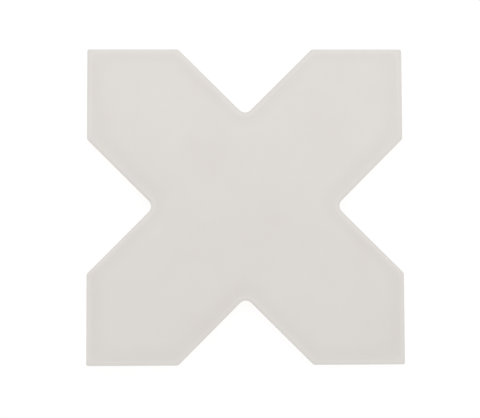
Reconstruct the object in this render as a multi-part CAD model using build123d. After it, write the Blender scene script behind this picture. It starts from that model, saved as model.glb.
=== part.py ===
"""Cross-shaped porcelain tile, pressed and fired in one piece, for a star-and-cross floor or wall.

Millimetres. The origin is the middle of the back, +Z points out of the glazed face, and the arms point along
the diagonals of X and Y, so that their ends lie square to X and Y.
"""

import os
from math import ceil, sqrt

from build123d import *

# The outline, seen from the face
TILE_SIZE = 120.0  # square that the arm tips reach
GROUT_JOINT = 1.5  # gap that the layout leaves to each neighbouring star tile
TIP_RADIUS = 0.8  # right-angled tip of an arm
SHOULDER_RADIUS = 1.5  # blunt corners beside a tip
NOTCH_RADIUS = 3.0  # root of the notch between two arms

# The section through an edge
THICKNESS = 9.0  # bed to face
CUSHION_WIDTH = 6.5  # strip over which the face falls in a slow S-curve
CUSHION_DROP = 0.25  # how far it falls
LIP_WIDTH = 1.0  # level strip at the foot of that curve
RIM_RADIUS = 1.5  # rolled edge between the lip and the wall
BACK_ARRIS = 0.6  # bevel between the wall and the bed

# The key on the back: pressed pockets that the adhesive fills
KEY_BORDER = 5.0  # plain bed along the outline
KEY_CELLS_ACROSS = 4  # pockets across an arm
KEY_RIB = 2.2  # bed left between two pockets
KEY_DEPTH = 0.7
KEY_DRAFT = 30.0  # degrees that a pocket's walls lean outwards
KEY_LEAST_SHARE = 0.3  # a pocket that an arm's end cuts to less than this share is left out

NODE = "cross_tile"
ARMS = 4
ARM_DIRECTION = 45.0  # degrees from X to the first arm's middle line

# In the layout, eight-pointed stars touch tip to tip and crosses fill the spaces between them. The joint
# takes half its width off every side, so a notch moves in towards the middle by that half times root two.
HALF_SIZE = TILE_SIZE / 2
LAYOUT_HALF_SIZE = HALF_SIZE + GROUT_JOINT / 2
NOTCH_REACH = LAYOUT_HALF_SIZE * (2 - sqrt(2)) - GROUT_JOINT / sqrt(2)
SHOULDER = HALF_SIZE - NOTCH_REACH
ARM_WIDTH = NOTCH_REACH * sqrt(2)


def cross_outline(tip, shoulder, notch):
    """Closed outline of the cross, with the rounding of each kind of corner."""
    arm = [(NOTCH_REACH, 0), (HALF_SIZE, SHOULDER), (HALF_SIZE, HALF_SIZE), (SHOULDER, HALF_SIZE)]
    corners = [Vector(*corner).rotate(Axis.Z, 90 * turn) for turn in range(ARMS) for corner in arm]
    return FilletPolyline(*corners, radius=[notch, shoulder, tip, shoulder] * ARMS, close=True)


def face_waste():
    """Section of what the cushion, lip and rim take off: X is the depth in from the wall, Y the height."""
    lip_height = THICKNESS - CUSHION_DROP
    wall_top = Vector(0, lip_height - RIM_RADIUS)
    lip_start = Vector(RIM_RADIUS, lip_height)
    lip_end = lip_start + Vector(LIP_WIDTH, 0)
    face_edge = lip_end + Vector(CUSHION_WIDTH, CUSHION_DROP)
    rim = TangentArc(wall_top, lip_start, tangent=(0, 1))
    lip = Line(lip_start, lip_end)
    hollow = TangentArc(lip_end, (lip_end + face_edge) / 2, tangent=lip % 1)
    crest = TangentArc(hollow @ 1, face_edge, tangent=hollow % 1)
    above = Vector(face_edge.X, THICKNESS + RIM_RADIUS)
    outside = Vector(-RIM_RADIUS, above.Y)
    rest = Polyline(face_edge, above, outside, (outside.X, wall_top.Y), wall_top)
    return make_face(rim + lip + hollow + crest + rest)


def arris_waste():
    """Section of what the bevel takes off along the back, in the same axes."""
    corners = [(0, BACK_ARRIS), (-BACK_ARRIS, 0), (0, -BACK_ARRIS), (BACK_ARRIS, 0)]
    return make_face(Polyline(*corners, close=True))


def swept_waste(section):
    """A section of waste carried round the whole outline, mitred at the tips and the shoulders."""
    path = Wire(cross_outline(0, 0, NOTCH_RADIUS).edges())
    along = path.tangent_at(0)
    across = Plane(origin=path.position_at(0), x_dir=along.cross(-Axis.Z.direction), z_dir=along)
    return sweep(across * section, path=path, transition=Transition.RIGHT)


def key_pockets():
    """The key's pockets, in rows along the arms and cut off square at the arm ends."""
    pitch = (ARM_WIDTH - 2 * KEY_BORDER + KEY_RIB) / KEY_CELLS_ACROSS
    block = KEY_CELLS_ACROSS * pitch
    field_size = TILE_SIZE - 2 * KEY_BORDER
    columns = ceil((field_size / sqrt(2) - block / 2) / pitch)
    arm_middle = block / 2 + columns * pitch / 2
    pocket = Rectangle(pitch - KEY_RIB, pitch - KEY_RIB)

    middle_cells = Rot(Z=ARM_DIRECTION) * GridLocations(pitch, pitch, KEY_CELLS_ACROSS, KEY_CELLS_ACROSS)
    arm_cells = [
        Rot(Z=ARM_DIRECTION + 90 * turn) * Pos(X=arm_middle) * cell
        for turn in range(ARMS)
        for cell in GridLocations(pitch, pitch, columns, KEY_CELLS_ACROSS)
    ]
    field = Rectangle(field_size, field_size)
    mouths = field & (Sketch() + [cell * pocket for cell in [*middle_cells, *arm_cells]])
    kept = [mouth for mouth in mouths.faces() if mouth.area > KEY_LEAST_SHARE * pocket.area]
    return [extrude(mouth, KEY_DEPTH, dir=(0, 0, 1), taper=KEY_DRAFT) for mouth in kept]


def build_tile():
    """The whole tile: pressed outline, cushioned face, bevelled back and key."""
    tile = extrude(make_face(cross_outline(TIP_RADIUS, SHOULDER_RADIUS, NOTCH_RADIUS)), THICKNESS)
    tile -= swept_waste(face_waste())
    tile -= swept_waste(arris_waste())
    tile -= key_pockets()
    return tile


if __name__ == "__main__":
    os.makedirs("parts", exist_ok=True)
    export_step(build_tile(), f"parts/{NODE}.step")
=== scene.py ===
"""Cross-shaped porcelain tile: the pressed, glazed and fired piece, lying face up on a light table.

Sizes are in millimetres, as a tile maker gives them, and become metres where a mesh, a light or the
camera is made. The tile's frame is that of the solid: the origin is the middle of the back, +Z points out
of the glazed face, and the arms lie along the diagonals of X and Y.
"""

import logging
import math
from collections.abc import Iterable, Mapping, Sequence
from dataclasses import dataclass
from enum import Enum
from typing import NamedTuple

import bmesh
import bpy
from mathutils import Matrix, Quaternion, Vector, noise


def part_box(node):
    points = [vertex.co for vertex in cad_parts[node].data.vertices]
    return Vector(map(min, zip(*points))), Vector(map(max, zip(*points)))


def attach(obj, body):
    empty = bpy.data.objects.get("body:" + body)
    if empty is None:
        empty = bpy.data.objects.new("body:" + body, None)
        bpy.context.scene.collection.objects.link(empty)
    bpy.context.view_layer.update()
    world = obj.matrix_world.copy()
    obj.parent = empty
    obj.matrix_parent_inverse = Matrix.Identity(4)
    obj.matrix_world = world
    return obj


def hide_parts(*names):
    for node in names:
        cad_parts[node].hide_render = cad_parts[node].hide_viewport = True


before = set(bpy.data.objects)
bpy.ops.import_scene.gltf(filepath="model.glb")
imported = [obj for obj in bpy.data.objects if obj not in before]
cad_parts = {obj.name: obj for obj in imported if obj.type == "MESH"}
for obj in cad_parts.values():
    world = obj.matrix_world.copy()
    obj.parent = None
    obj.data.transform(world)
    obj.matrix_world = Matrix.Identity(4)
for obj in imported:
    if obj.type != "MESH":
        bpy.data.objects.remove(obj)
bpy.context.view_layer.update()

MM = 0.001
ROOT_TWO = math.sqrt(2)
NODE = "cross_tile"
BODY = "root"
DEPTH_LAYER = "edge_depth"
ARMS = 4
ARM_DIRECTION = math.radians(45)  # from X to the middle line of the first arm
NOISE_SPREAD = (0.3, 0.7)  # values between which nearly all of a noise texture lies
# Places of a Mix node's sockets for colours, whose names it shares with those for numbers
MIX_SHARE, MIX_FIRST, MIX_SECOND, MIX_RESULT = 0, 6, 7, 2

log = logging.getLogger("cross_tile_scene")


class Surface(Enum):
    """Finishes of the tile's skin. Each value is the finish's place among the mesh's material slots."""

    GLAZE = 0
    BARE_BODY = 1
    KILN_WASH = 2


class Station(NamedTuple):
    """One step of a section through the tile.

    inset is the distance in from the outline of the tile or of a pocket. height is measured up from the
    bed or, in the glaze's hem, from the glaze line.
    """

    inset: float
    height: float


def linear(hex_colour: str) -> tuple[float, float, float, float]:
    """Turns an sRGB colour into the linear values that shaders take.

    Args:
        hex_colour: colour as "#RRGGBB".

    Returns:
        Linear red, green and blue, and an alpha of 1.
    """
    shares = [int(hex_colour[place : place + 2], 16) / 255 for place in (1, 3, 5)]
    red, green, blue = (s / 12.92 if s <= 0.04045 else ((s + 0.055) / 1.055) ** 2.4 for s in shares)
    return red, green, blue, 1.0


def add_node(
    tree: bpy.types.NodeTree,
    kind: str,
    inputs: Mapping[str | int, object] | None = None,
    stops: Sequence[tuple[float, str]] = (),
    **settings: object,
) -> bpy.types.Node:
    """Adds one node to a tree, with its settings and links.

    Args:
        tree: node tree of a material or a world.
        kind: Blender's name for the type of node.
        inputs: value, or socket to link from, for each input that isn't left as it is.
        stops: for a colour ramp, the place from 0 to 1 and the sRGB colour of each stop, in rising order.
        settings: the node's own properties.

    Returns:
        The new node.
    """
    node = tree.nodes.new(kind)
    for name, value in settings.items():
        setattr(node, name, value)
    for place, _ in stops[2:]:  # a new ramp has two stops
        node.color_ramp.elements.new(place)
    for number, (place, colour) in enumerate(stops):
        element = node.color_ramp.elements[number]
        element.position, element.color = place, linear(colour)
    for name, value in (inputs or {}).items():
        if isinstance(value, bpy.types.NodeSocket):
            tree.links.new(value, node.inputs[name])
        else:
            node.inputs[name].default_value = value
    return node


def emptied_tree(owner: bpy.types.Material | bpy.types.World) -> bpy.types.NodeTree:
    """Turns on the nodes of a material or a world and clears them.

    Args:
        owner: the material or the world.

    Returns:
        Its node tree, with no node in it.
    """
    owner.use_nodes = True
    owner.node_tree.nodes.clear()
    return owner.node_tree


def new_object(name: str, data: bpy.types.ID) -> bpy.types.Object:
    """Makes an object and links it into the scene.

    Args:
        name: name of the object.
        data: its mesh, light or camera.

    Returns:
        The new object.
    """
    made = bpy.data.objects.new(name, data)
    bpy.context.collection.objects.link(made)
    return made


def rounded_ring(
    corners: Sequence[Vector], radii: Sequence[float], arc_steps: int, side_steps: int
) -> list[Vector]:
    """Walks once round a polygon with rounded corners.

    Args:
        corners: corners of the polygon, anticlockwise.
        radii: radius of each corner.
        arc_steps: steps that each corner's arc is drawn with.
        side_steps: steps that each side between two arcs is drawn with.

    Returns:
        The points of the ring. Their number doesn't change with the sizes.
    """
    arcs = []
    for place, (corner, radius) in enumerate(zip(corners, radii, strict=True)):
        into = (corner - corners[place - 1]).normalized()
        out = (corners[(place + 1) % len(corners)] - corner).normalized()
        turn = math.atan2(into.cross(out), into.dot(out))
        start = corner - into * (radius * math.tan(abs(turn) / 2))
        spoke = Vector((into.y, -into.x)) * math.copysign(radius, turn)
        centre = start - spoke
        turns = [Matrix.Rotation(turn * step / arc_steps, 2) for step in range(arc_steps + 1)]
        arcs.append([centre + part_turn @ spoke for part_turn in turns])
    points = []
    for arc, following in zip(arcs, arcs[1:] + arcs[:1]):
        points += arc
        points += [arc[-1].lerp(following[0], step / side_steps) for step in range(1, side_steps)]
    return points


def shrunk(polygon: Sequence[Vector], inset: float) -> list[Vector]:
    """Moves every side of a convex polygon inwards.

    Args:
        polygon: corners, anticlockwise.
        inset: distance that each side moves, outwards if it is negative.

    Returns:
        The corners of the smaller polygon.
    """
    moved = []
    for place, corner in enumerate(polygon):
        into = (corner - polygon[place - 1]).normalized()
        out = (polygon[(place + 1) % len(polygon)] - corner).normalized()
        moved.append(corner + (out - into) * (inset / into.cross(out)))
    return moved


def cut_off(polygon: Sequence[Vector], normal: Vector, limit: float) -> list[Vector]:
    """Cuts off the part of a polygon that lies past a straight line.

    Args:
        polygon: corners in order.
        normal: unit vector across the line, towards the part that goes.
        limit: distance of the line from the origin along that vector.

    Returns:
        The corners of what is left, or an empty list.
    """
    kept = []
    for place, corner in enumerate(polygon):
        before = polygon[place - 1]
        past, past_before = corner.dot(normal) - limit, before.dot(normal) - limit
        if past * past_before < 0:
            kept.append(before.lerp(corner, past_before / (past_before - past)))
        if past <= 0:
            kept.append(corner)
    return kept


def area(polygon: Sequence[Vector]) -> float:
    """Area of a polygon with its corners in anticlockwise order."""
    return sum(polygon[place - 1].cross(corner) for place, corner in enumerate(polygon)) / 2


def eased(section: Sequence[Station], reach: float) -> list[Station]:
    """Rounds off the corners of a section.

    Args:
        section: corners of the section in order, with the two ends.
        reach: distance from a corner at which its rounding starts and ends.

    Returns:
        The two ends as they are, and three stations in place of each corner between them.
    """
    points = [Vector(station) for station in section]
    rounded = [section[0]]
    for before, corner, after in zip(points, points[1:], points[2:]):
        start = corner + (before - corner).normalized() * reach
        end = corner + (after - corner).normalized() * reach
        middle = (start + end) / 4 + corner / 2
        rounded += [Station(*start), Station(*middle), Station(*end)]
    return [*rounded, section[-1]]


def section_arc(centre: Station, radius: float, start: float, end: float, steps: int) -> list[Station]:
    """Steps along an arc of a section, by the angle that its surface leans outwards.

    Args:
        centre: centre of the arc.
        radius: radius of the arc, negative where the surface is hollow.
        start: lean at its inner end, in radians.
        end: lean at its outer end.
        steps: number of steps.

    Returns:
        The stations, both ends among them.
    """
    inset, height = centre
    leans = [start + (end - start) * step / steps for step in range(steps + 1)]
    return [Station(inset - radius * math.sin(lean), height + radius * math.cos(lean)) for lean in leans]


@dataclass(frozen=True)
class CrossOutline:
    """The cross seen from its face, with arms along the diagonals and square-pointed ends.

    Eight-pointed stars touch tip to tip in the layout and crosses fill the spaces between them. The
    grout joint takes half its width off every side.
    """

    size: float
    grout_joint: float = 1.5
    tip_radius: float = 0.8
    shoulder_radius: float = 1.5
    notch_radius: float = 3.0
    corner_softening: float = 1.0  # growth of a tip's and a shoulder's radius with each millimetre in
    arc_steps: int = 12
    side_steps: int = 26

    @property
    def notch_reach(self) -> float:
        """Distance from the middle to the sharp root of a notch."""
        layout_half = (self.size + self.grout_joint) / 2
        return layout_half * (2 - ROOT_TWO) - self.grout_joint / ROOT_TWO

    @property
    def arm_width(self) -> float:
        """Width across an arm."""
        return self.notch_reach * ROOT_TWO

    def ring(self, inset: float) -> list[Vector]:
        """Draws the line that runs at one distance inside the outline.

        Args:
            inset: distance in from the outline.

        Returns:
            Points of the ring, anticlockwise, as many as at any other inset.
        """
        half = self.size / 2 - inset
        reach = self.notch_reach - inset * ROOT_TWO
        tip = self.tip_radius + self.corner_softening * inset
        shoulder = self.shoulder_radius + self.corner_softening * inset
        arm = [(reach, 0), (half, half - reach), (half, half), (half - reach, half)]
        turns = [Matrix.Rotation(math.tau * turn / ARMS, 2) for turn in range(ARMS)]
        corners = [turn @ Vector(corner) for turn in turns for corner in arm]
        radii = [self.notch_radius + inset, shoulder, tip, shoulder] * ARMS
        return rounded_ring(corners, radii, self.arc_steps, self.side_steps)


@dataclass(frozen=True)
class EdgeSection:
    """Section through the tile's edge, from the flat of the face down to the bed."""

    thickness: float
    flat_margin: float = 2.0  # last stretch of the flat face, drawn in bands of its own
    cushion_width: float = 6.5
    cushion_drop: float = 0.25
    lip_width: float = 1.0  # level strip at the foot of the cushion
    rim_radius: float = 1.5
    arris: float = 0.6
    arris_ease: float = 0.15
    glaze_coat: float = 0.12  # thickness of the glaze on the wall
    glaze_hem: float = 0.3  # height over which the coat's lower edge rounds off
    glaze_height: float = 3.6  # middle height at which the glaze stops on the wall
    glaze_wave: float = 0.8  # how far that line strays up and down
    glaze_wave_length: float = 14.0
    glaze_wave_weakening: float = 0.7  # finer waves are weaker by their fineness to this power
    glaze_wave_shortening: float = 2.0  # how many times shorter each wave is than the one before
    glaze_waves: int = 4
    curve_steps: int = 10  # in each half of the cushion's S-curve
    rim_steps: int = 12
    hem_steps: int = 3

    def face_stations(self) -> list[Station]:
        """Draws the glazed face.

        Returns:
            Stations from the flat down the cushion's S-curve, across the lip and round the rim.
        """
        lip_height = self.thickness - self.cushion_drop
        lip_end = self.rim_radius + self.lip_width
        face_edge = lip_end + self.cushion_width
        bend = (self.cushion_width**2 + self.cushion_drop**2) / (4 * self.cushion_drop)
        steepest = math.asin(self.cushion_width / (2 * bend))
        crest_centre = Station(face_edge, self.thickness - bend)
        hollow_centre = Station(lip_end, lip_height + bend)
        rim_centre = Station(self.rim_radius, lip_height - self.rim_radius)

        margins = (self.flat_margin, self.flat_margin / 2)
        flat = [Station(face_edge + margin, self.thickness) for margin in margins]
        crest = section_arc(crest_centre, bend, 0, steepest, self.curve_steps)
        hollow = section_arc(hollow_centre, -bend, steepest, 0, self.curve_steps)
        rim = section_arc(rim_centre, self.rim_radius, 0, math.pi / 2, self.rim_steps)
        return [*flat, *crest, *hollow[1:], *rim]

    def hem_stations(self) -> list[Station]:
        """Draws the rounded lower edge of the glaze.

        Returns:
            Stations from the coat's surface in to the body, with heights above the glaze line.
        """
        leans = [math.pi / 2 * step / self.hem_steps for step in range(self.hem_steps + 1)]
        coat, hem = self.glaze_coat, self.glaze_hem
        return [Station(coat * (1 - math.cos(lean)), hem * (1 - math.sin(lean))) for lean in leans]

    def foot_stations(self) -> list[Station]:
        """Draws the foot of the bare wall.

        Returns:
            Stations down the wall, over the arris with its eased corners and onto the bed.
        """
        coat, arris = self.glaze_coat, self.arris
        wall = [Station(coat, 2 * arris), Station(coat, arris)]
        bed = [Station(coat + arris, 0.0), Station(coat + 2 * arris, 0.0)]
        return eased([*wall, *bed], self.arris_ease)

    def glaze_line(self, point: Vector) -> float:
        """Finds where the glaze stops on the wall.

        Args:
            point: point of the outline.

        Returns:
            Height of the glaze's lower edge there.
        """
        where = Vector((*point, 0.0)) / self.glaze_wave_length
        shape = (self.glaze_wave_weakening, self.glaze_wave_shortening, self.glaze_waves)
        return self.glaze_height + self.glaze_wave * noise.fractal(where, *shape)


@dataclass(frozen=True)
class PressedKey:
    """The key on the back: rows of shallow pockets along the arms that the adhesive fills."""

    border: float = 5.0
    cells_across: int = 4
    rib: float = 2.2
    depth: float = 0.7
    draft: float = 30.0  # degrees that a pocket's walls lean
    least_share: float = 0.3  # a pocket that an arm's end cuts to less than this share is left out
    corner_radius: float = 0.9
    corner_share: float = 0.4  # largest share of a mouth's shortest side that the radius may take
    ease: float = 0.18  # rounding of a pocket's lip and of its floor's edge
    arc_steps: int = 5

    def mouths(self, outline: CrossOutline) -> list[list[Vector]]:
        """Lays out the pockets.

        Args:
            outline: outline of the tile that carries the key.

        Returns:
            Corners of each pocket's mouth, anticlockwise, with those at the arm ends cut off square.
        """
        pitch = (outline.arm_width - 2 * self.border + self.rib) / self.cells_across
        limit = outline.size / 2 - self.border
        extra = math.ceil((limit * ROOT_TWO - self.cells_across * pitch / 2) / pitch)
        half = (pitch - self.rib) / 2
        square = [Vector((half * x, half * y)) for x, y in ((-1, -1), (1, -1), (1, 1), (-1, 1))]
        sides = [Vector(side) for side in ((1, 0), (0, 1), (-1, 0), (0, -1))]
        to_arms = Matrix.Rotation(ARM_DIRECTION, 2)
        across = range(self.cells_across)
        along = range(-extra, self.cells_across + extra)
        middle = (self.cells_across - 1) / 2

        mouths = []
        for column in along:
            for row in along:
                if column not in across and row not in across:
                    continue
                cell = Vector((column - middle, row - middle)) * pitch
                mouth = [to_arms @ (cell + corner) for corner in square]
                for side in sides:
                    mouth = cut_off(mouth, side, limit)
                if mouth and area(mouth) > self.least_share * area(square):
                    mouths.append(mouth)
        return mouths

    def pocket_rings(self, mouth: Sequence[Vector]) -> list[list[Vector]]:
        """Draws one pocket.

        Args:
            mouth: corners of the pocket on the bed.

        Returns:
            Rings from the flat bed over the eased lip and down the leaning wall to the pocket's floor.
        """
        foot = self.depth * math.tan(math.radians(self.draft))
        margin = 2 * self.ease
        wall = [Station(0.0, 0.0), Station(foot, self.depth)]
        section = [Station(-margin, 0.0), *wall, Station(foot + margin, self.depth)]
        shortest = min((corner - mouth[place - 1]).length for place, corner in enumerate(mouth))
        mouth_radius = min(self.corner_radius, self.corner_share * shortest)
        rings = []
        for inset, height in eased(section, self.ease):
            radius = max(mouth_radius - inset, self.ease)
            ring = rounded_ring(shrunk(mouth, inset), [radius] * len(mouth), self.arc_steps, side_steps=1)
            rings.append([Vector((*point, height)) for point in ring])
        return rings


class Skin:
    """A mesh in the making: closed rings of points, the bands between them and the flats in them."""

    def __init__(self) -> None:
        """Starts with an empty mesh that keeps each point's distance from the tile's edge."""
        self._mesh = bmesh.new()
        self._depth = self._mesh.verts.layers.float.new(DEPTH_LAYER)

    def ring(self, points: Iterable[Vector], edge_depth: float) -> list[bmesh.types.BMVert]:
        """Adds the points of a ring.

        Args:
            points: points in millimetres, in order.
            edge_depth: their distance in from the tile's edge.

        Returns:
            The new vertices.
        """
        vertices = [self._mesh.verts.new(point * MM) for point in points]
        for vertex in vertices:
            vertex[self._depth] = edge_depth
        return vertices

    def bands(self, rings: Sequence[list[bmesh.types.BMVert]], surface: Surface) -> None:
        """Joins each ring to the next with a band of four-sided faces.

        Args:
            rings: rings with equal numbers of vertices, in order.
            surface: finish of the bands.
        """
        for first, second in zip(rings, rings[1:]):
            for place in range(len(first)):
                corners = (first[place - 1], first[place], second[place], second[place - 1])
                self._mesh.faces.new(corners).material_index = surface.value

    def flat(self, rings: Sequence[list[bmesh.types.BMVert]], surface: Surface) -> None:
        """Fills the flat inside a ring, or between a ring and the rings that lie in it.

        Args:
            rings: the outer ring and any inner ones, all in one plane.
            surface: finish of the flat.
        """
        sides = [(ring[place - 1], ring[place]) for ring in rings for place in range(len(ring))]
        edges = [self._mesh.edges.get(side) for side in sides]
        filled = bmesh.ops.triangle_fill(self._mesh, edges=edges, use_beauty=True, use_dissolve=False)
        for face in filled["geom"]:
            if isinstance(face, bmesh.types.BMFace):
                face.material_index = surface.value

    def finished(self, name: str, materials: Mapping[Surface, bpy.types.Material]) -> bpy.types.Object:
        """Makes the object.

        Args:
            name: name of the object and its mesh.
            materials: material of each finish.

        Returns:
            The object, smooth-shaded and linked into the scene.
        """
        bmesh.ops.recalc_face_normals(self._mesh, faces=self._mesh.faces)
        for face in self._mesh.faces:
            face.smooth = True
        mesh = bpy.data.meshes.new(name)
        self._mesh.to_mesh(mesh)
        self._mesh.free()
        for surface in Surface:
            mesh.materials.append(materials[surface])
        return new_object(name, mesh)


@dataclass(frozen=True)
class SatinGlaze:
    """Opaque satin glaze, sprayed onto the pressed body and fired with it."""

    name: str = "satin_glaze_on_porcelain"
    field_colour: str = "#DCD8D3"
    # Painted highlight and painted shade: the rim lighter and a band at the cushion's foot darker than
    # the field, partly the glaze lying thin and thick there
    hollow_shade_colour: str = "#DAD6D1"
    rim_highlight_colour: str = "#DFDBD6"
    rim_highlight_depths: tuple[float, float] = (0.7, 1.1)  # distances from the edge between which the painted highlight on the rim is full
    hollow_shade_depths: tuple[float, float] = (2.4, 4.0)  # and between which the painted shade in the band at the cushion's foot is full
    field_depth: float = 7.5  # distance from the edge at which the even field begins
    cloud_colours: tuple[str, str] = ("#FCFBFB", "#FFFFFF")  # the tone is multiplied by these
    cloud_size: float = 16.0
    cloud_seed: float = 3.0  # which of the noise patterns the clouds take
    ior: float = 1.5
    roughness: tuple[float, float] = (0.30, 0.36)  # of the glossiest and the dullest patches
    roughness_patch: float = 7.0
    ripple_size: float = 2.6  # orange peel left by the spray
    ripple_height: float = 0.006

    def material(self) -> bpy.types.Material:
        """Builds the glaze's material.

        Returns:
            The material, whose tone follows the distance from the tile's edge.
        """
        # Fine crystals in the glass scatter the light, so the eye gets an even, slightly warm grey-white
        # with a broad soft sheen. The rim is painted lighter, a painted highlight, and a faint band in
        # the hollow at the cushion's foot is painted darker, a painted shade. The glaze lying thin and
        # thick there makes up part of it.
        made = bpy.data.materials.new(self.name)
        tree = emptied_tree(made)
        place = add_node(tree, "ShaderNodeTexCoord").outputs["Object"]
        shader_inputs = {
            "Base Color": self._colour(tree, place),
            "Roughness": self._sheen(tree, place),
            "Normal": self._orange_peel(tree, place),
            "IOR": self.ior,
        }
        shader = add_node(tree, "ShaderNodeBsdfPrincipled", shader_inputs)
        add_node(tree, "ShaderNodeOutputMaterial", {"Surface": shader.outputs["BSDF"]})
        return made

    def _colour(self, tree: bpy.types.NodeTree, place: bpy.types.NodeSocket) -> bpy.types.NodeSocket:
        """Paints a highlight on the rim and shade in a band at the cushion's foot, partly the glaze lying
        thin and thick, under faint clouds.

        Args:
            tree: node tree of the material.
            place: socket of the place on the tile.

        Returns:
            Socket of the colour.
        """
        depth = add_node(tree, "ShaderNodeAttribute", attribute_name=DEPTH_LAYER)
        depth_inputs = {0: depth.outputs["Fac"], 1: self.field_depth}
        depth_share = add_node(tree, "ShaderNodeMath", depth_inputs, operation="DIVIDE")
        # Painted highlight on the rim and painted shade in the band at the cushion's foot, set by the
        # distance from the edge
        edge_light_and_shade = [
            (0.0, self.field_colour),
            *((highlight_depth / self.field_depth, self.rim_highlight_colour) for highlight_depth in self.rim_highlight_depths),
            *((shade_depth / self.field_depth, self.hollow_shade_colour) for shade_depth in self.hollow_shade_depths),
            (1.0, self.field_colour),
        ]
        tone = add_node(tree, "ShaderNodeValToRGB", {"Fac": depth_share.outputs[0]}, edge_light_and_shade)

        cloud_inputs = {
            "Vector": place,
            "W": self.cloud_seed,
            "Scale": 1 / (self.cloud_size * MM),
            "Detail": 3.0,
        }
        clouds = add_node(tree, "ShaderNodeTexNoise", cloud_inputs, noise_dimensions="4D")
        cloud_tones = list(zip(NOISE_SPREAD, self.cloud_colours))
        veil = add_node(tree, "ShaderNodeValToRGB", {"Fac": clouds.outputs["Fac"]}, cloud_tones)
        veiled_inputs = {
            MIX_SHARE: 1.0,
            MIX_FIRST: tone.outputs["Color"],
            MIX_SECOND: veil.outputs["Color"],
        }
        veiled = add_node(tree, "ShaderNodeMix", veiled_inputs, data_type="RGBA", blend_type="MULTIPLY")
        return veiled.outputs[MIX_RESULT]

    def _sheen(self, tree: bpy.types.NodeTree, place: bpy.types.NodeSocket) -> bpy.types.NodeSocket:
        """Makes the glaze a little glossier in some patches than in others.

        Args:
            tree: node tree of the material.
            place: socket of the place on the tile.

        Returns:
            Socket of the roughness.
        """
        patch_inputs = {"Vector": place, "Scale": 1 / (self.roughness_patch * MM), "Detail": 2.0}
        patches = add_node(tree, "ShaderNodeTexNoise", patch_inputs)
        least, most = NOISE_SPREAD
        glossy, dull = self.roughness
        sheen_inputs = {
            "Value": patches.outputs["Fac"],
            "From Min": least,
            "From Max": most,
            "To Min": glossy,
            "To Max": dull,
        }
        return add_node(tree, "ShaderNodeMapRange", sheen_inputs).outputs["Result"]

    def _orange_peel(self, tree: bpy.types.NodeTree, place: bpy.types.NodeSocket) -> bpy.types.NodeSocket:
        """Ripples the glaze.

        Args:
            tree: node tree of the material.
            place: socket of the place on the tile.

        Returns:
            Socket of the normal.
        """
        ripple_inputs = {"Vector": place, "Scale": 1 / (self.ripple_size * MM), "Detail": 1.0}
        ripples = add_node(tree, "ShaderNodeTexNoise", ripple_inputs)
        bump_inputs = {"Height": ripples.outputs["Fac"], "Distance": self.ripple_height * MM}
        return add_node(tree, "ShaderNodeBump", bump_inputs).outputs["Normal"]


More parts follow.
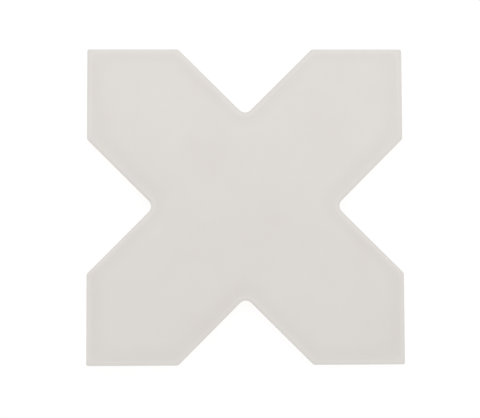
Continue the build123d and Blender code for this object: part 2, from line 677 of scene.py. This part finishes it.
@dataclass(frozen=True)
class BareBody:
    """Porcelain body, dry-pressed from spray-dried grains and fired without glaze.

    A body with kiln wash has the coat that keeps a tile from sticking in the kiln.
    """

    name: str
    body_colours: tuple[str, str] = ("#C3BBAD", "#D6D0C4")
    body_spread: tuple[float, float] = (0.35, 0.65)  # values of the mottling that have those colours
    cloud_size: float = 11.0
    grain_size: float = 0.8  # real grains measure about 0.3 mm, too fine to show
    grain_share: float = 0.45  # share of the grain in the mottling, beside the clouds
    grain_height: float = 0.06
    speck_colour: str = "#AFA595"
    speck_spacing: float = 2.6
    speck_radii: tuple[float, float] = (0.15, 0.28)  # full colour up to the first, none past the second
    wash_colour: str = "#E4E1DA"
    wash_cover: float = 0.0  # strength of the coat of kiln wash
    wash_edge: tuple[float, float] = (0.36, 0.48)  # values of the mottling between which it sets in
    ior: float = 1.5
    roughness: float = 0.82

    def material(self) -> bpy.types.Material:
        """Builds the body's material.

        Returns:
            The material, with a coat of kiln wash if the body has one.
        """
        # The eye gets a dull, chalky ivory, mottled by the pressed grains, with small darker specks. Kiln
        # wash lies over it as a whiter, patchy bloom.
        made = bpy.data.materials.new(self.name)
        tree = emptied_tree(made)
        place = add_node(tree, "ShaderNodeTexCoord").outputs["Object"]
        grain_inputs = {"Vector": place, "Scale": 1 / (self.grain_size * MM), "Detail": 3.0}
        grain = add_node(tree, "ShaderNodeTexNoise", grain_inputs).outputs["Fac"]
        bump = add_node(tree, "ShaderNodeBump", {"Height": grain, "Distance": self.grain_height * MM})
        shader_inputs = {
            "Base Color": self._colour(tree, place, grain),
            "Roughness": self.roughness,
            "Normal": bump.outputs["Normal"],
            "IOR": self.ior,
        }
        shader = add_node(tree, "ShaderNodeBsdfPrincipled", shader_inputs)
        add_node(tree, "ShaderNodeOutputMaterial", {"Surface": shader.outputs["BSDF"]})
        return made

    def _colour(
        self, tree: bpy.types.NodeTree, place: bpy.types.NodeSocket, grain: bpy.types.NodeSocket
    ) -> bpy.types.NodeSocket:
        """Mottles the body, specks it and lays the kiln wash over it.

        Args:
            tree: node tree of the material.
            place: socket of the place on the tile.
            grain: socket of the grain's pattern.

        Returns:
            Socket of the colour.
        """
        cloud_inputs = {"Vector": place, "Scale": 1 / (self.cloud_size * MM), "Detail": 4.0}
        clouds = add_node(tree, "ShaderNodeTexNoise", cloud_inputs)
        mottling_inputs = {"Factor": self.grain_share, "A": clouds.outputs["Fac"], "B": grain}
        mottling = add_node(tree, "ShaderNodeMix", mottling_inputs).outputs["Result"]
        body_tones = list(zip(self.body_spread, self.body_colours))
        tone = add_node(tree, "ShaderNodeValToRGB", {"Fac": mottling}, body_tones)

        speck_inputs = {"Vector": place, "Scale": 1 / (self.speck_spacing * MM)}
        specks = add_node(tree, "ShaderNodeTexVoronoi", speck_inputs)
        full, none = (radius / self.speck_spacing for radius in self.speck_radii)
        speck_range = {"From Min": full, "From Max": none, "To Min": 1.0, "To Max": 0.0}
        speck = add_node(tree, "ShaderNodeMapRange", {"Value": specks.outputs["Distance"], **speck_range})
        specked_inputs = {
            MIX_SHARE: speck.outputs["Result"],
            MIX_FIRST: tone.outputs["Color"],
            MIX_SECOND: linear(self.speck_colour),
        }
        specked = add_node(tree, "ShaderNodeMix", specked_inputs, data_type="RGBA")
        if self.wash_cover == 0:
            return specked.outputs[MIX_RESULT]

        start, end = self.wash_edge
        wash_range = {"From Min": start, "From Max": end, "To Min": 0.0, "To Max": self.wash_cover}
        wash = add_node(tree, "ShaderNodeMapRange", {"Value": mottling, **wash_range})
        washed_inputs = {
            MIX_SHARE: wash.outputs["Result"],
            MIX_FIRST: specked.outputs[MIX_RESULT],
            MIX_SECOND: linear(self.wash_colour),
        }
        washed = add_node(tree, "ShaderNodeMix", washed_inputs, data_type="RGBA")
        return washed.outputs[MIX_RESULT]


@dataclass(frozen=True)
class CrossTile:
    """The whole tile: outline, section, key and finishes, made as one closed skin."""

    outline: CrossOutline
    section: EdgeSection
    key: PressedKey = PressedKey()
    glaze: SatinGlaze = SatinGlaze()
    bare_body: BareBody = BareBody("bare_pressed_porcelain")
    washed_body: BareBody = BareBody("kiln_washed_porcelain", wash_cover=0.8)
    name: str = "glazed_cross_tile"
    wall_steps: int = 4  # bands from the glaze down to the wall's foot

    def build(self) -> bpy.types.Object:
        """Builds the tile, which takes the place of the plain solid.

        Returns:
            The tile's object.
        """
        skin = Skin()
        glaze_foot = self._glazed_side(skin)
        bed_edge = self._bare_wall(skin, glaze_foot)
        self._keyed_bed(skin, bed_edge)
        materials = {
            Surface.GLAZE: self.glaze.material(),
            Surface.BARE_BODY: self.bare_body.material(),
            Surface.KILN_WASH: self.washed_body.material(),
        }
        tile = skin.finished(self.name, materials)
        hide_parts(NODE)
        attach(tile, BODY)
        return tile

    def _ring(self, skin: Skin, station: Station, glaze_share: float = 0.0) -> list[bmesh.types.BMVert]:
        """Adds a ring at one station of the section.

        Args:
            skin: mesh in the making.
            station: place in the section.
            glaze_share: share of the glaze line's height that is added to the station's at each point.

        Returns:
            The ring's vertices.
        """
        points = []
        for point in self.outline.ring(station.inset):
            height = station.height + glaze_share * self.section.glaze_line(point)
            points.append(Vector((*point, height)))
        return skin.ring(points, station.inset)

    def _glazed_side(self, skin: Skin) -> list[bmesh.types.BMVert]:
        """Makes the face, the rim and the glazed part of the wall.

        Args:
            skin: mesh in the making.

        Returns:
            The ring at the glaze's foot, on the body.
        """
        rings = [self._ring(skin, station) for station in self.section.face_stations()]
        rings += [self._ring(skin, station, glaze_share=1.0) for station in self.section.hem_stations()]
        skin.bands(rings, Surface.GLAZE)
        skin.flat(rings[:1], Surface.GLAZE)
        return rings[-1]

    def _bare_wall(self, skin: Skin, glaze_foot: list[bmesh.types.BMVert]) -> list[bmesh.types.BMVert]:
        """Makes the wall below the glaze and the arris at its foot.

        Args:
            skin: mesh in the making.
            glaze_foot: ring that the glaze ends on.

        Returns:
            The ring on the bed beside the arris.
        """
        foot = self.section.foot_stations()
        rings = [glaze_foot]
        for step in range(1, self.wall_steps):
            share = step / self.wall_steps
            station = foot[0]._replace(height=foot[0].height * share)
            rings.append(self._ring(skin, station, glaze_share=1 - share))
        rings += [self._ring(skin, station) for station in foot]
        skin.bands(rings, Surface.BARE_BODY)
        return rings[-1]

    def _keyed_bed(self, skin: Skin, bed_edge: list[bmesh.types.BMVert]) -> None:
        """Makes the bed with its pockets.

        Args:
            skin: mesh in the making.
            bed_edge: ring round the bed.
        """
        lips = []
        for mouth in self.key.mouths(self.outline):
            rings = [skin.ring(points, self.key.border) for points in self.key.pocket_rings(mouth)]
            skin.bands(rings, Surface.BARE_BODY)
            skin.flat(rings[-1:], Surface.BARE_BODY)
            lips.append(rings[0])
        skin.flat([bed_edge, *lips], Surface.KILN_WASH)
        log.info("pressed %d pockets into the back", len(lips))


@dataclass(frozen=True)
class SoftBox:
    """Rectangular lamp with an even, diffuse front."""

    name: str
    place: tuple[float, float, float]
    aim: tuple[float, float, float]
    width: float
    height: float
    brightness: float  # radiance of the front, with 1 as white

    def build(self) -> bpy.types.Object:
        """Hangs the lamp and aims it.

        Returns:
            The lamp's object.
        """
        lamp = bpy.data.lights.new(self.name, "AREA")
        lamp.shape = "RECTANGLE"
        lamp.size, lamp.size_y = self.width * MM, self.height * MM
        lamp.energy = self.brightness * math.pi * lamp.size * lamp.size_y
        holder = new_object(self.name, lamp)
        sight = Vector(self.aim) - Vector(self.place)
        holder.location = Vector(self.place) * MM
        holder.rotation_euler = sight.to_track_quat("-Z", "Y").to_euler()
        return holder


@dataclass(frozen=True)
class Studio:
    """Light table, even surrounding light and a soft box above the top of the picture."""

    surround: float = 0.875  # radiance of the light all round, with 1 as white
    surround_colour: str = "#FFFFFF"
    table_width: float = 6000.0
    table_colour: str = "#7C7C7C"
    table_glow: float = 0.83  # radiance of the light from below, likewise
    table_glow_colour: str = "#FFFFFF"
    table_roughness: float = 0.9
    soft_box: SoftBox = SoftBox(
        name="soft_box",
        place=(15.0, 200.0, 430.0),
        aim=(0.0, 0.0, 9.0),
        width=500.0,
        height=300.0,
        brightness=0.8,
    )

    def build(self) -> bpy.types.Object:
        """Sets the light and the table.

        Returns:
            The table.
        """
        scene = bpy.context.scene
        scene.view_settings.view_transform = "Standard"
        scene.world = bpy.data.worlds.new("studio_surround")
        tree = emptied_tree(scene.world)
        light_inputs = {"Color": linear(self.surround_colour), "Strength": self.surround}
        light = add_node(tree, "ShaderNodeBackground", light_inputs)
        add_node(tree, "ShaderNodeOutputWorld", {"Surface": light.outputs["Background"]})
        self.soft_box.build()
        return self._table()

    def _table(self) -> bpy.types.Object:
        """Makes the table's top at the height of the tile's bed.

        Returns:
            The table.
        """
        half = self.table_width / 2 * MM
        corners = [(-half, -half, 0.0), (half, -half, 0.0), (half, half, 0.0), (-half, half, 0.0)]
        mesh = bpy.data.meshes.new("light_table")
        mesh.from_pydata(corners, [], [(0, 1, 2, 3)])
        mesh.materials.append(self._acrylic())
        table = new_object("light_table", mesh)
        return table

    def _acrylic(self) -> bpy.types.Material:
        """Builds the material of the table's top.

        Returns:
            White acrylic that is lit from below.
        """
        # The sheet sends back a fifth of the light that falls on it and glows with the light from below,
        # so the eye gets pure white right up to the tile, with next to no shadow.
        made = bpy.data.materials.new("backlit_white_acrylic")
        tree = emptied_tree(made)
        shader_inputs = {
            "Base Color": linear(self.table_colour),
            "Roughness": self.table_roughness,
            "Emission Color": linear(self.table_glow_colour),
            "Emission Strength": self.table_glow,
        }
        shader = add_node(tree, "ShaderNodeBsdfPrincipled", shader_inputs)
        add_node(tree, "ShaderNodeOutputMaterial", {"Surface": shader.outputs["BSDF"]})
        return made


@dataclass(frozen=True)
class PictureCamera:
    """Camera almost straight above the face, leaning in a little from the bottom of the picture."""

    name: str = "picture_camera"
    place: tuple[float, float, float] = (-12.75, -29.0, 461.2)
    aim: tuple[float, float, float] = (-2.05, -1.1, 7.2)
    roll: float = 0.23  # degrees
    focal_length: float = 90.0
    sensor_width: float = 36.0
    nearest: float = 10.0  # distances between which the camera sees
    farthest: float = 10000.0

    def build(self) -> bpy.types.Object:
        """Makes the scene's camera.

        Returns:
            The camera's object.
        """
        lens = bpy.data.cameras.new(self.name)
        lens.sensor_width = self.sensor_width
        lens.lens = self.focal_length
        lens.clip_start, lens.clip_end = self.nearest * MM, self.farthest * MM
        camera = new_object(self.name, lens)
        sight = (Vector(self.aim) - Vector(self.place)).normalized()
        side = sight.cross(Vector((0.0, 1.0, 0.0))).normalized()
        level = Matrix((side, side.cross(sight), -sight)).transposed().to_quaternion()
        camera.location = Vector(self.place) * MM
        camera.rotation_mode = "QUATERNION"
        camera.rotation_quaternion = level @ Quaternion((0.0, 0.0, 1.0), -math.radians(self.roll))
        bpy.context.scene.camera = camera
        return camera


def main() -> None:
    """Builds the tile, the studio and the camera. The tile takes its size and thickness from the solid's
    box.
    """
    logging.basicConfig(level=logging.INFO, format="%(message)s")
    low, high = (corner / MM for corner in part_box(NODE))
    tile = CrossTile(CrossOutline(size=high.x - low.x), EdgeSection(thickness=high.z - low.z))
    for piece in (tile, Studio(), PictureCamera()):
        made = piece.build()
        log.info("built %s", made.name)


if __name__ == "__main__":
    main()
